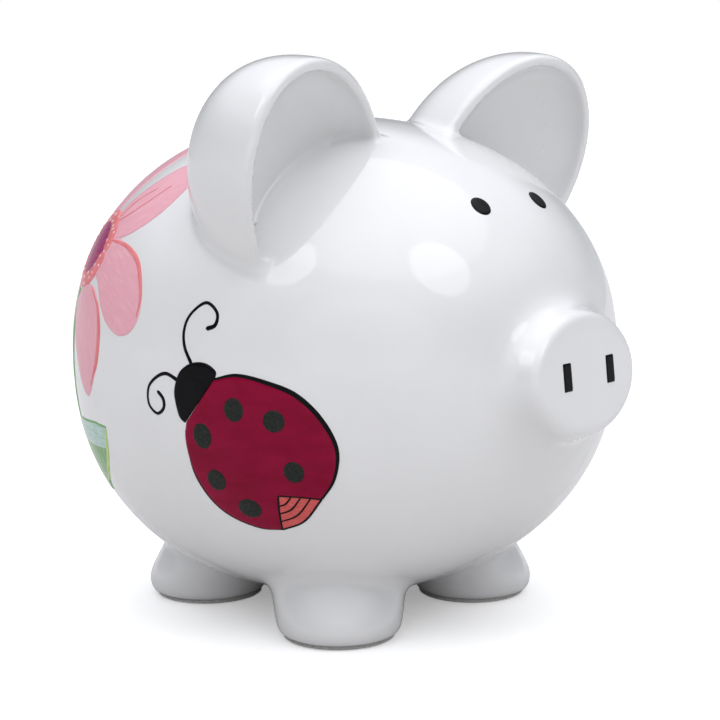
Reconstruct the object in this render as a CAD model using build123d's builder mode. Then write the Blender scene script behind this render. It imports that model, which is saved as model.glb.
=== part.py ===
from build123d import *
from math import cos, pi, radians, sin
import os

os.makedirs("parts", exist_ok=True)

# A slip-cast ceramic piggy bank. Millimetres, +Z up, the pig faces -Y and its right side is -X.
# The origin is on the ground, under the middle of the whole figure.

# ---- Driving dimensions ----
BODY_Y, BODY_Z = 11.8, 97.9  # widest point of the body
BODY_HALF_WIDTH = 97.8
BODY_FRONT, BODY_REAR = 109.0, 91.0
BODY_UPPER, BODY_LOWER = 87.3, 91.5
ROUNDNESS = 2.18  # exponent of the body's outline, 2 would be an ellipsoid
WALL = 5.0

SNOUT_Y, SNOUT_Z = BODY_Y - 118.0, 98.4
SNOUT_HALF_WIDTH, SNOUT_HALF_HEIGHT, SNOUT_LENGTH = 30.0, 21.7, 35.0
SNOUT_TILT, SNOUT_EDGE = 6.0, 3.5
SNOUT_FLARE = 4.2  # how much wider the snout is at its hidden end

EAR_X, EAR_Y, EAR_Z = 55.0, BODY_Y - 43.7, 162.2
EAR_HALF_CHORD, EAR_HEIGHT, EAR_DEPTH = 38.8, 49.7, 44.0
EAR_ROUNDNESS, EAR_RIM, EAR_WALL, DISH_DEPTH = 2.34, 3.5, 5.0, 14.0
EAR_FACING = (0.13, -0.971, -0.199)  # outward normal of the right ear's rim
EAR_CHORD = (0.767, -0.029, 0.641)  # along the right ear's root, towards the crown

FOOT_FRONT_X, FOOT_FRONT_Y = 39.2, BODY_Y - 36.8
FOOT_REAR_X, FOOT_REAR_Y = 25.5, BODY_Y + 42.3
FOOT_RADIUS, FOOT_ANKLE_RADIUS, FOOT_TOP_RADIUS, FOOT_EDGE = 22.2, 23.0, 27.0, 2.0
FOOT_ANKLE_Z, FOOT_TOP_Z = 8.0, 45.0
FOOT_TOE, FOOT_SPLAY = 0.8, 0.7  # the sole's shift outwards, and the lean per mm above the ankle
PAD_THICKNESS = 1.3

TAIL_Y, TAIL_Z, TAIL_THICKNESS, TAIL_CURL, TAIL_TURN = BODY_Y + 92.0, 119.0, 7.6, 8.5, 310.0

SLOT_Y, SLOT_LENGTH, SLOT_WIDTH = BODY_Y + 38.0, 38.0, 5.0
HOLE_RADIUS, SEAT_RADIUS, SEAT_Z = 15.0, 19.6, 7.9
STOPPER_FIT, STOPPER_GAP = 0.06, 0.3
STOPPER_FLANGE_RADIUS, STOPPER_FLANGE, STOPPER_TOP_Z = 18.8, 3.2, 21.0

ENAMEL, ENAMEL_RAISED = 0.3, 0.5  # thickness of painted areas, and of strokes laid over them
EYE_RADIUS, EYE_LONGITUDE, EYE_LATITUDE = 3.9, 11.3, 34.1
NOSTRIL_X, NOSTRIL_UP, NOSTRIL_WIDTH, NOSTRIL_HEIGHT = 12.9, 0.5, 4.8, 9.8
LADYBUG_LONGITUDE, LADYBUG_LATITUDE = 62.3, -11.8
SPOT_RADIUS, ANTENNA_WIDTH, EDGE_WIDTH = 3.9, 1.1, 1.5
FLOWER_LONGITUDE, FLOWER_LATITUDE = 124.4, 25.6
PETALS, FIRST_PETAL_ANGLE, PETAL_ROOT, PETAL_TIP, PETAL_HALF_WIDTH = 7, -59.0, 16.0, 54.5, 12.5
FLOWER_EYE_RADIUS, STEM_WIDTH, STEM_FOOT = 15.8, 3.5, -72.0
GRASS_LONGITUDE, GRASS_LATITUDE = 128.0, -17.0
GRASS = [(34, 8), (12, 10), (-8, 6), (-30, 10), (-36, -16), (-4, -24), (31, -19)]
COAT_REACH = 45.0  # an outline is projected this far to either side of its plane


def outline_scale(share):
    """Size of a section that lies a share of the way from the widest one to the tip."""
    return (1 - abs(share) ** ROUNDNESS) ** (1 / ROUNDNESS)


def rounded_outline(across, up, down, count=16):
    """Points of a rounded outline with its own upper and lower half-height, from the left round."""
    points = []
    for step in range(count):
        angle = pi + 2 * pi * (step + 0.5) / count
        c, s = cos(angle), sin(angle)
        x = across * abs(c) ** (2 / ROUNDNESS) * (1 if c > 0 else -1)
        y = (up if s > 0 else -down) * abs(s) ** (2 / ROUNDNESS)
        points.append((x, y))
    return points


def body_form(grow):
    """The egg-shaped body, its skin moved outwards by grow: a lofted half and its mirror image."""
    rear, front = BODY_REAR + grow, BODY_FRONT + grow
    shares = [sin(radians(angle)) for angle in (78, 65, 50, 34, 17)]
    stations = [share * rear for share in shares] + [0] + [-share * front for share in shares[::-1]]
    rings = []
    for along in stations:
        size = outline_scale(along / (rear if along > 0 else front))
        ring_plane = Plane((0, BODY_Y + along, BODY_Z), x_dir=(1, 0, 0), z_dir=(0, -1, 0))
        with BuildSketch(ring_plane) as ring:
            with BuildLine():
                Spline(
                    rounded_outline(
                        (BODY_HALF_WIDTH + grow) * size,
                        (BODY_UPPER + grow) * size,
                        (BODY_LOWER + grow) * size,
                    ),
                    periodic=True,
                )
            make_face()
            split(bisect_by=Plane.YZ)
        rings.append(ring.sketch)
    with BuildPart() as form:
        loft([Vertex(0, BODY_Y + rear, BODY_Z), *rings, Vertex(0, BODY_Y - front, BODY_Z)])
        mirror(about=Plane.YZ)
    return form.part


def skin_plane(longitude, latitude):
    """A plane touching the body, its x axis level and its y axis up the skin.

    Longitude turns from the snout (0) to the pig's right flank (90) and on to the tail (180).
    """
    lon, lat = radians(longitude), radians(latitude)
    way = Vector(-sin(lon) * cos(lat), -cos(lon) * cos(lat), sin(lat))
    halves = (
        BODY_HALF_WIDTH,
        BODY_FRONT if way.Y < 0 else BODY_REAR,
        BODY_UPPER if way.Z > 0 else BODY_LOWER,
    )
    ways = (way.X, way.Y, way.Z)
    reach = sum(abs(w / h) ** ROUNDNESS for w, h in zip(ways, halves)) ** (-1 / ROUNDNESS)
    slopes = [
        abs(w * reach / h) ** (ROUNDNESS - 1) / h * (1 if w > 0 else -1)
        for w, h in zip(ways, halves)
    ]
    normal = Vector(*slopes).normalized()
    return Plane(
        Vector(0, BODY_Y, BODY_Z) + way * reach,
        x_dir=Vector(-normal.Y, normal.X, 0),
        z_dir=normal,
    )


def painted_area(outline, plane, layer):
    """A thin coat of enamel that follows the body, cut to a flat outline."""
    with BuildPart() as area:
        with BuildSketch(plane):
            add(outline)
        extrude(amount=COAT_REACH, both=True)
        add(layer, mode=Mode.INTERSECT)
    return area.part


def finish(part, name):
    part.label = name
    export_step(part, f"parts/{name}.step")


# ---- Solids that shape the other pieces ----
outer_form = body_form(0)
inner_form = body_form(-WALL)
coat_form = body_form(ENAMEL)
raised_form = body_form(ENAMEL_RAISED)

with BuildPart() as coat:
    add(coat_form)
    add(outer_form, mode=Mode.SUBTRACT)

with BuildPart() as raised_coat:
    add(raised_form)
    add(coat_form, mode=Mode.SUBTRACT)

# ---- Body shell, with the coin slot on the back and the stopper hole in the belly ----
with BuildPart() as hollow:
    add(inner_form)
    with BuildSketch(Plane.XY.offset(BODY_Z)):
        with Locations((0, SLOT_Y)):
            SlotOverall(SLOT_LENGTH, SLOT_WIDTH, rotation=90)
    extrude(amount=BODY_UPPER * 2)
    with BuildSketch(Plane.XY):
        with Locations((0, BODY_Y)):
            Circle(HOLE_RADIUS)
    extrude(amount=BODY_Z)
    with BuildSketch(Plane.XY):
        with Locations((0, BODY_Y)):
            Circle(SEAT_RADIUS)
    extrude(amount=SEAT_Z)

with BuildPart() as body_shell:
    add(outer_form)
    add(hollow.part, mode=Mode.SUBTRACT)
finish(body_shell.part, "body_shell")

# ---- Stopper: a plug with a flange, pulled out downwards ----
with BuildPart() as stopper:
    with BuildSketch(Plane.XY.offset(SEAT_Z - STOPPER_GAP)):
        with Locations((0, BODY_Y)):
            Circle(STOPPER_FLANGE_RADIUS)
    extrude(amount=-STOPPER_FLANGE)
    fillet(stopper.faces().sort_by(Axis.Z)[0].edges(), STOPPER_FLANGE / 3)
    with BuildSketch(Plane.XY.offset(SEAT_Z - STOPPER_GAP)):
        with Locations((0, BODY_Y)):
            Circle(HOLE_RADIUS - STOPPER_FIT)
    extrude(amount=STOPPER_TOP_Z - SEAT_Z)
    chamfer(stopper.faces().sort_by(Axis.Z)[-1].edges(), STOPPER_FLANGE / 3)
finish(stopper.part, "stopper")

# ---- Snout: a hollow cup with a rounded rim, luted to the front of the body ----
tilt = radians(SNOUT_TILT)
snout_face = Plane((0, SNOUT_Y, SNOUT_Z), x_dir=(1, 0, 0), z_dir=(0, -cos(tilt), sin(tilt)))
with BuildPart() as snout:
    with BuildSketch(snout_face):
        Ellipse(SNOUT_HALF_WIDTH, SNOUT_HALF_HEIGHT)
    with BuildSketch(snout_face.offset(-SNOUT_LENGTH)):
        Ellipse(SNOUT_HALF_WIDTH + SNOUT_FLARE, SNOUT_HALF_HEIGHT + SNOUT_FLARE)
    loft()
    fillet(snout.faces().sort_by(Axis.Y)[0].edges(), SNOUT_EDGE)
    with BuildSketch(snout_face.offset(-WALL)):
        Ellipse(SNOUT_HALF_WIDTH - WALL, SNOUT_HALF_HEIGHT - WALL)
    extrude(amount=-SNOUT_LENGTH, mode=Mode.SUBTRACT)
    add(outer_form, mode=Mode.SUBTRACT)
finish(snout.part, "snout")

# ---- Ears: cupped shells that open forwards, the left one a mirror image of the right ----
ear_rim = Plane((-EAR_X, EAR_Y, EAR_Z), x_dir=EAR_CHORD, z_dir=EAR_FACING)


def dome(radius_x, radius_y, depth, start, rim_plane):
    """A rounded dome behind the rim plane, cut off flat at the depth called start."""
    first = start / depth
    shares = [first + sin(radians(a)) * (1 - first) for a in (0, 18, 36, 54, 70, 82)]
    rings = []
    for share in shares:
        size = (1 - share**EAR_ROUNDNESS) ** (1 / EAR_ROUNDNESS)
        with BuildSketch(rim_plane.offset(-share * depth)) as ring:
            Ellipse(radius_x * size, radius_y * size)
        rings.append(ring.sketch)
    with BuildPart() as form:
        loft([*rings, Vertex(rim_plane.offset(-depth).origin)])
    return form.part


with BuildPart() as ear_right:
    add(dome(EAR_HALF_CHORD, EAR_HEIGHT, EAR_DEPTH, 0, ear_rim))
    add(
        dome(EAR_HALF_CHORD - EAR_RIM, EAR_HEIGHT - EAR_RIM, DISH_DEPTH, 0, ear_rim),
        mode=Mode.SUBTRACT,
    )
    add(
        dome(
            EAR_HALF_CHORD - EAR_WALL,
            EAR_HEIGHT - EAR_WALL,
            EAR_DEPTH - EAR_WALL,
            DISH_DEPTH + EAR_WALL,
            ear_rim,
        ),
        mode=Mode.SUBTRACT,
    )
    add(outer_form, mode=Mode.SUBTRACT)
finish(ear_right.part, "ear_right")

with BuildPart() as ear_left:
    add(mirror(ear_right.part, about=Plane.YZ))
finish(ear_left.part, "ear_left")

# ---- Feet, each with a round pad under it ----
FEET = {
    "front_right": (-FOOT_FRONT_X, FOOT_FRONT_Y),
    "front_left": (FOOT_FRONT_X, FOOT_FRONT_Y),
    "rear_right": (-FOOT_REAR_X, FOOT_REAR_Y),
    "rear_left": (FOOT_REAR_X, FOOT_REAR_Y),
}
for place, centre in FEET.items():
    outwards = Vector(centre[0], centre[1] - BODY_Y).normalized()
    with BuildPart() as foot:
        for height, radius, shift in (
            (PAD_THICKNESS, FOOT_RADIUS, FOOT_TOE),
            (FOOT_ANKLE_Z, FOOT_ANKLE_RADIUS, FOOT_TOE),
            (FOOT_TOP_Z, FOOT_TOP_RADIUS, FOOT_TOE - FOOT_SPLAY * (FOOT_TOP_Z - FOOT_ANKLE_Z)),
        ):
            with BuildSketch(Plane.XY.offset(height)):
                with Locations(Vector(*centre) + outwards * shift):
                    Circle(radius)
        loft(ruled=True)
        fillet(foot.faces().sort_by(Axis.Z)[0].edges(), FOOT_EDGE)
        add(outer_form, mode=Mode.SUBTRACT)
    finish(foot.part, f"foot_{place}")

    with BuildPart() as pad:
        with BuildSketch(Plane.XY):
            with Locations(centre):
                Circle(FOOT_RADIUS - FOOT_EDGE)
        extrude(amount=PAD_THICKNESS)
    finish(pad.part, f"foot_pad_{place}")

# ---- Tail: a short curl lying against the rump ----
with BuildPart() as tail:
    with Locations(Plane((0, TAIL_Y, TAIL_Z), x_dir=(1, 0, 0), z_dir=(0, -1, 0))):
        Torus(TAIL_CURL, TAIL_THICKNESS / 2, major_angle=TAIL_TURN)
    add(outer_form, mode=Mode.SUBTRACT)
finish(tail.part, "tail")

# ---- Painted face: two eyes and two upright nostrils ----
with BuildSketch() as eye_outline:
    Circle(EYE_RADIUS)
for side, longitude in (("right", EYE_LONGITUDE), ("left", -EYE_LONGITUDE)):
    eye_plane = skin_plane(longitude, EYE_LATITUDE)
    finish(painted_area(eye_outline.sketch, eye_plane, coat.part), f"eye_{side}")

for side, across in (("right", -NOSTRIL_X), ("left", NOSTRIL_X)):
    with BuildPart() as nostril:
        with BuildSketch(snout_face):
            with Locations((across, NOSTRIL_UP)):
                Rectangle(NOSTRIL_WIDTH, NOSTRIL_HEIGHT)
        extrude(amount=ENAMEL)
    finish(nostril.part, f"nostril_{side}")

# ---- Ladybug on the right flank: u runs towards the snout, v up the skin ----
ladybug_plane = skin_plane(LADYBUG_LONGITUDE, LADYBUG_LATITUDE)
WING_CASE = [
    (-17, 23), (-8.5, 25), (3, 23), (13, 19), (21, 11), (25.5, 0.5),
    (23.5, -10.5), (18.5, -18), (10.5, -27.5), (2, -31.5), (-6.5, -31.5),
    (-19.5, -25.5), (-27.5, -13), (-30, 1), (-29, 7),
]
WING_NOTCH = (3.5, -17)  # inner corner of the open wing
HEAD = [
    (-16.5, 23.5), (-16, 25.5), (-20, 28), (-26, 27.5), (-31, 24), (-33.5, 17.5),
    (-33, 12.5), (-31.5, 8), (-29.5, 6.5),
]
SPOTS = [(-9.5, 13.5), (5, 10.5), (-22.5, 3), (-19, -13), (10.5, -7.5), (-8, -23)]
FRONT_ANTENNA = [
    (-26, 27), (-29, 32.5), (-29.5, 37.5), (-27.5, 42.5), (-21, 47), (-16.5, 44),
    (-17, 40.5), (-20.5, 39),
]
REAR_ANTENNA = [
    (-32, 21), (-37, 22.5), (-41.5, 20.5), (-45, 16.5), (-45, 10.5), (-41.5, 8),
    (-38.5, 10.5), (-38.5, 13.5), (-41, 16),
]

with BuildSketch() as wing_case:
    with BuildLine():
        Spline(WING_CASE)
        Line(WING_CASE[-1], WING_CASE[0])
    make_face()

with BuildSketch() as open_wing:
    with BuildLine():
        Polyline(WING_NOTCH, (30, WING_NOTCH[1]), (30, -40), (1, -40), close=True)
    make_face()
    add(wing_case.sketch, mode=Mode.INTERSECT)

with BuildSketch() as closed_wings:
    add(wing_case.sketch)
    add(open_wing.sketch, mode=Mode.SUBTRACT)

with BuildSketch() as head:
    with BuildLine():
        Spline(HEAD)
        Line(HEAD[-1], HEAD[0])
    make_face()
    add(wing_case.sketch, mode=Mode.SUBTRACT)

with BuildSketch() as spots:
    with Locations(*SPOTS):
        Circle(SPOT_RADIUS)

with BuildSketch() as wing_edge:
    with BuildLine():
        Spline(WING_CASE[:8])
    trace(line_width=EDGE_WIDTH)
    add(wing_case.sketch, mode=Mode.INTERSECT)

with BuildSketch() as antennae:
    for route in (FRONT_ANTENNA, REAR_ANTENNA):
        with BuildLine():
            Spline(route)
        trace(line_width=ANTENNA_WIDTH)
    add(head.sketch, mode=Mode.SUBTRACT)

for name, outline, layer in (
    ("ladybug_wings", closed_wings, coat),
    ("ladybug_open_wing", open_wing, coat),
    ("ladybug_head", head, coat),
    ("ladybug_antennae", antennae, coat),
    ("ladybug_spots", spots, raised_coat),
    ("ladybug_edge", wing_edge, raised_coat),
):
    finish(painted_area(outline.sketch, ladybug_plane, layer.part), name)

# ---- Flower on the rear of the right flank, with its stem and a patch of grass ----
flower_plane = skin_plane(FLOWER_LONGITUDE, FLOWER_LATITUDE)
PETAL = [
    (PETAL_ROOT, -0.35), (0.5 * (PETAL_ROOT + PETAL_TIP) - 3, -0.86), (0.78 * PETAL_TIP, -1.0),
    (0.95 * PETAL_TIP, -0.6), (PETAL_TIP, 0.0), (0.95 * PETAL_TIP, 0.6), (0.78 * PETAL_TIP, 1.0),
    (0.5 * (PETAL_ROOT + PETAL_TIP) - 3, 0.86), (PETAL_ROOT, 0.35),
]

with BuildSketch() as flower_eye:
    Circle(FLOWER_EYE_RADIUS)

with BuildSketch() as petals:
    for number in range(PETALS):
        turn = Plane.XY.rotated((0, 0, FIRST_PETAL_ANGLE + number * 360 / PETALS))
        with BuildLine(turn) as edge:
            Spline([(along, share * PETAL_HALF_WIDTH) for along, share in PETAL])
            Line(edge.line @ 1, edge.line @ 0)
        make_face()
    Circle(FLOWER_EYE_RADIUS, mode=Mode.SUBTRACT)

with BuildSketch() as stem:
    with Locations((0, (STEM_FOOT - PETAL_ROOT) / 2)):
        Rectangle(STEM_WIDTH, -STEM_FOOT - PETAL_ROOT)
    add(petals.sketch, mode=Mode.SUBTRACT)
with BuildSketch() as grass:
    with BuildLine():
        Polyline(GRASS, close=True)
    make_face()
grass_plane = skin_plane(GRASS_LONGITUDE, GRASS_LATITUDE)
grass_patch = painted_area(grass.sketch, grass_plane, coat.part)
finish(grass_patch, "grass_patch")

for name, outline, neighbour in (
    ("flower_eye", flower_eye, ear_right.part),
    ("flower_petals", petals, ear_right.part),
    ("flower_stem", stem, grass_patch),
):
    with BuildPart() as area:
        add(painted_area(outline.sketch, flower_plane, coat.part))
        add(neighbour, mode=Mode.SUBTRACT)
    finish(area.part, name)
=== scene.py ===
from math import cos, hypot, pi, radians, sin

import bpy
import numpy as np
from mathutils import Matrix, Vector
from mathutils.geometry import delaunay_2d_cdt


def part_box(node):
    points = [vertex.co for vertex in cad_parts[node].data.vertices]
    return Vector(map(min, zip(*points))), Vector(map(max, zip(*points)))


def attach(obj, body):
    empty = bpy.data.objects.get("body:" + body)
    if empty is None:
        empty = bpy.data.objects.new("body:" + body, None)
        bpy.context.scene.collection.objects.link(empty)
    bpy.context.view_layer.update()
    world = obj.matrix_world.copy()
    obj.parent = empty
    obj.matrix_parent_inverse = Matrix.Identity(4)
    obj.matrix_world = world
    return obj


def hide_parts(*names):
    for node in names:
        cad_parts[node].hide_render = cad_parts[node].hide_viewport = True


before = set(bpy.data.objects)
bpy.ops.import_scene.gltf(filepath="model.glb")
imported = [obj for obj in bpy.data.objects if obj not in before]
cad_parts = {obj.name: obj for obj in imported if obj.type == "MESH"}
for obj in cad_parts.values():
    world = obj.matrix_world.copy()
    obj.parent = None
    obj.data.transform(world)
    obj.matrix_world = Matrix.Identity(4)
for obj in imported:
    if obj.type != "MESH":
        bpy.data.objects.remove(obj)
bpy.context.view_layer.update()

# A glazed ceramic piggy bank. Shapes are worked out in millimetres in the CAD's own frame: +Z up,
# the snout towards -Y, the pig's right flank on the -X side. Meshes are written in metres.

MM = 0.001

# ---- Driving dimensions, as in the CAD ----
BODY = np.array([0.0, 11.8, 97.9])  # widest point of the body
HALF_WIDTH, FRONT, REAR, UPPER, LOWER = 97.8, 109.0, 91.0, 87.3, 91.5
ROUNDNESS = 2.18
WALL = 5.0
SNOUT = BODY + (0, -118.0, 0.5)
SNOUT_HALF_WIDTH, SNOUT_HALF_HEIGHT = 30.0, 21.7
SNOUT_TILT, SNOUT_FLARE = radians(6), 0.12  # the flare is the growth for each millimetre back
EAR = np.array([-55.0, BODY[1] - 43.7, 162.2])
EAR_HALF_CHORD, EAR_HEIGHT, EAR_DEPTH, EAR_ROUNDNESS = 38.8, 49.7, 44.0, 2.34
EAR_FACING = np.array([0.13, -0.971, -0.199])
EAR_CHORD = np.array([0.767, -0.029, 0.641])
DISH_RIM, DISH_DEPTH = 4.2, 15.0
FEET = {
    "front_right": (-39.2, BODY[1] - 36.8),
    "front_left": (39.2, BODY[1] - 36.8),
    "rear_right": (-25.5, BODY[1] + 42.3),
    "rear_left": (25.5, BODY[1] + 42.3),
}
FOOT_RADIUS, FOOT_GROWTH, FOOT_TOP = 22.2, 0.155, 45.0
# The sole shifts outwards by the toe, and the foot leans by the splay above the ankle.
FOOT_TOE, FOOT_SPLAY, FOOT_ANKLE = 0.8, 0.7, 8.0
PAD_RADIUS, PAD_THICKNESS = 20.2, 1.3
TAIL = np.array([0.0, BODY[1] + 92.0, 119.0])
TAIL_CURL, TAIL_THICKNESS = 8.5, 3.8
TAIL_START, TAIL_SWEEP, TAIL_SHRINK, TAIL_TAPER = -60, 420, 0.62, 0.55
SLOT_Y, SLOT_LENGTH, SLOT_WIDTH = BODY[1] + 38.0, 38.0, 5.0
HOLE_RADIUS, SEAT_RADIUS, SEAT_Z = 15.0, 19.6, 7.9
STOPPER_RADIUS, STOPPER_NECK, STOPPER_TOP = 18.8, 14.94, 20.7


# ---- Distance fields: negative inside, positive outside, in millimetres ----
def blend_min(a, b, reach):
    """The union of two fields with a rounded inside corner."""
    h = np.maximum(reach - np.abs(a - b), 0)
    return np.minimum(a, b) - h**3 / (6 * reach**2)


def blend_max(a, b, reach):
    """What two fields share, with a rounded outside corner."""
    return -blend_min(-a, -b, reach)


def body_field(p, grow=0.0):
    q = p - BODY
    halves = np.stack(
        [
            np.full(q.shape[:-1], HALF_WIDTH + grow),
            np.where(q[..., 1] < 0, FRONT, REAR) + grow,
            np.where(q[..., 2] > 0, UPPER, LOWER) + grow,
        ],
        -1,
    )
    share = np.abs(q) / halves
    size = np.maximum((share**ROUNDNESS).sum(-1), 1e-9) ** (1 / ROUNDNESS)
    slope = (share / size[..., None]) ** (ROUNDNESS - 1) / halves
    return (size - 1) / np.linalg.norm(slope, axis=-1)


def shell_field(p):
    """The hollow body with its coin slot and stopper hole, their edges softened by glaze."""
    shell = np.maximum(body_field(p), -body_field(p, -WALL))
    along = np.maximum(np.abs(p[..., 1] - SLOT_Y) - (SLOT_LENGTH - SLOT_WIDTH) / 2, 0)
    slot = np.maximum(np.hypot(p[..., 0], along) - SLOT_WIDTH / 2, BODY[2] - p[..., 2])
    across = np.hypot(p[..., 0], p[..., 1] - BODY[1])
    hole = np.maximum(across - HOLE_RADIUS, p[..., 2] - BODY[2])
    seat = np.maximum(across - SEAT_RADIUS, p[..., 2] - SEAT_Z)
    cut = blend_max(shell, -slot, 2.4)
    return blend_max(blend_max(cut, -hole, 1.2), -seat, 0.8)


def snout_field(p):
    """An oval snout with a flat face and a rounded rim, growing a little towards the body."""
    q = p - SNOUT
    facing = np.array([0, -cos(SNOUT_TILT), sin(SNOUT_TILT)])
    ahead = q @ facing
    across = q[..., 0]
    up = q @ np.array([0, sin(SNOUT_TILT), cos(SNOUT_TILT)])
    wide = SNOUT_HALF_WIDTH - ahead * SNOUT_FLARE
    high = SNOUT_HALF_HEIGHT - ahead * SNOUT_FLARE
    size = np.maximum(np.hypot(across / wide, up / high), 1e-6)
    slope = np.hypot(across / wide**2, up / high**2) / size
    return blend_max((size - 1) / np.maximum(slope, 1e-6), ahead, 7.0)


EAR_RISE = np.cross(EAR_FACING, EAR_CHORD)
EAR_RISE = EAR_RISE / np.linalg.norm(EAR_RISE)


def dome(u, w, depth, half_u, half_w, deep):
    """A rounded dome that goes back from the rim, and runs straight in front of it."""
    size_across = np.sqrt((u / half_u) ** 2 + (w / half_w) ** 2)
    back = np.maximum(depth, 0) / deep
    size = np.maximum(size_across**EAR_ROUNDNESS + back**EAR_ROUNDNESS, 1e-9)
    size = size ** (1 / EAR_ROUNDNESS)
    mean_half = (half_u * half_w) ** 0.5
    reach = np.where(back > size_across, deep, mean_half)
    return (size - 1) * np.minimum(reach, mean_half)


def ear_field(p):
    """The right ear: a rounded dome behind the rim, a shallow dish in front."""
    q = p - EAR
    u, w, depth = q @ EAR_CHORD, q @ EAR_RISE, -(q @ EAR_FACING)
    outside = dome(u, w, depth, EAR_HALF_CHORD, EAR_HEIGHT, EAR_DEPTH)
    dish = dome(u, w, depth, EAR_HALF_CHORD - DISH_RIM, EAR_HEIGHT - DISH_RIM, DISH_DEPTH)
    front = blend_max(outside, -depth, 5.0)
    return blend_max(front, -dish, 2.6)


def foot_field(p, centre):
    """A foot that leans in under the belly, so that its toe points outwards."""
    outwards = np.array([centre[0], centre[1] - BODY[1]])
    outwards = outwards / np.linalg.norm(outwards)
    up = p[..., 2] - PAD_THICKNESS
    above = p[..., 2] - FOOT_ANKLE
    lean = FOOT_TOE - FOOT_SPLAY * (above + np.sqrt(above**2 + 9)) / 2
    x = p[..., 0] - centre[0] - outwards[0] * lean
    y = p[..., 1] - centre[1] - outwards[1] * lean
    side = np.hypot(x, y) - FOOT_RADIUS - FOOT_GROWTH * up
    return blend_max(blend_max(side, -up, 6.0), p[..., 2] - FOOT_TOP, 1.0)


def tail_field(p):
    """A tapering rod wound into a loose curl against the rump."""
    best = np.full(p.shape[:-1], 1e9)
    for t in np.linspace(0, 1, 64):
        angle = radians(TAIL_START + TAIL_SWEEP * t)
        radius = TAIL_CURL * (1 - TAIL_SHRINK * t)
        knot = TAIL + (radius * cos(angle), -0.2 + 0.2 * t, radius * sin(angle))
        thick = TAIL_THICKNESS * (1 - TAIL_TAPER * t)
        best = np.minimum(best, np.linalg.norm(p - knot, axis=-1) - thick)
    return best


# ---- From fields to meshes ----
def slope_of(field, p, step=0.02):
    parts = []
    for axis in np.eye(3) * step:
        parts.append(field(p + axis) - field(p - axis))
    return np.stack(parts, -1) / (2 * step)


PROJECTION_STEPS = 4  # Newton steps that bring a mesh point onto the field's surface
CORNERS = [(i, j, k) for i in (0, 1) for j in (0, 1) for k in (0, 1)]


def skin_mesh(name, field, lines, shade=None):
    """A closed quad mesh on the zero level of a field, with the field's own normals."""
    grid = np.stack(np.meshgrid(*lines, indexing="ij"), -1)
    value = field(grid)
    count = np.array(value.shape) - 1

    def corner(array, c):
        return array[c[0] : c[0] + count[0], c[1] : c[1] + count[1], c[2] : c[2] + count[2]]

    total = np.zeros((*count, 3))
    hits = np.zeros(count)
    for a in CORNERS:
        for axis in range(3):
            if a[axis]:
                continue
            b = tuple(1 if n == axis else a[n] for n in range(3))
            va, vb = corner(value, a), corner(value, b)
            crossed = (va < 0) != (vb < 0)
            share = np.where(crossed, va / np.where(crossed, va - vb, 1), 0)[..., None]
            point = corner(grid, a) * (1 - share) + corner(grid, b) * share
            total += np.where(crossed[..., None], point, 0)
            hits += crossed
    used = hits > 0
    number = np.full(count, -1)
    number[used] = np.arange(used.sum())
    points = total[used] / hits[used][:, None]
    faces = []
    for axis in range(3):
        one, two = [n for n in range(3) if n != axis]
        low = value.take(range(count[axis]), axis)
        high = value.take(range(1, count[axis] + 1), axis)
        for rising in (True, False):
            edge = (low < 0) & (high >= 0) if rising else (low >= 0) & (high < 0)
            at = np.argwhere(edge)
            inner = (at[:, one] > 0) & (at[:, two] > 0)
            inner &= (at[:, one] < count[one]) & (at[:, two] < count[two])
            at = at[inner]
            ring = []
            for d_one, d_two in ((1, 1), (0, 1), (0, 0), (1, 0)):
                cell = at.copy()
                cell[:, one] -= d_one
                cell[:, two] -= d_two
                ring.append(number[cell[:, 0], cell[:, 1], cell[:, 2]])
            flip = rising == (axis == 1)
            faces.append(np.stack(ring[::-1] if flip else ring, -1))
    faces = np.concatenate(faces)
    limit = 0.6 * min(np.diff(line).min() for line in lines)
    for _ in range(PROJECTION_STEPS):
        slope = slope_of(field, points)
        step = field(points) / np.maximum((slope**2).sum(-1), 1e-6)
        move = step[:, None] * slope
        size = np.linalg.norm(move, axis=-1)
        points = points - move * np.minimum(1, limit / np.maximum(size, 1e-9))[:, None]
    normals = slope_of(shade or field, points)
    normals /= np.maximum(np.linalg.norm(normals, axis=-1), 1e-9)[:, None]
    return mesh_object(name, points, faces, normals)


def mesh_object(name, points, faces, normals=None):
    mesh = bpy.data.meshes.new(name)
    mesh.from_pydata((np.asarray(points) * MM).tolist(), [], [list(map(int, f)) for f in faces])
    mesh.shade_smooth()
    if normals is not None:
        mesh.normals_split_custom_set_from_vertices(np.asarray(normals).tolist())
    obj = bpy.data.objects.new(name, mesh)
    bpy.context.scene.collection.objects.link(obj)
    return obj


def lines_between(low, high, step):
    return np.linspace(low, high, int(np.ceil((high - low) / step)) + 1)


def piece(obj, material, slot, *nodes, body="bank"):
    """Finishes a piece: its material, the CAD nodes it stands for and the body it rides. Its slot is not
    used.
    """
    if material:
        obj.data.materials.append(material)
    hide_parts(*nodes)
    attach(obj, body)
    return obj


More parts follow.
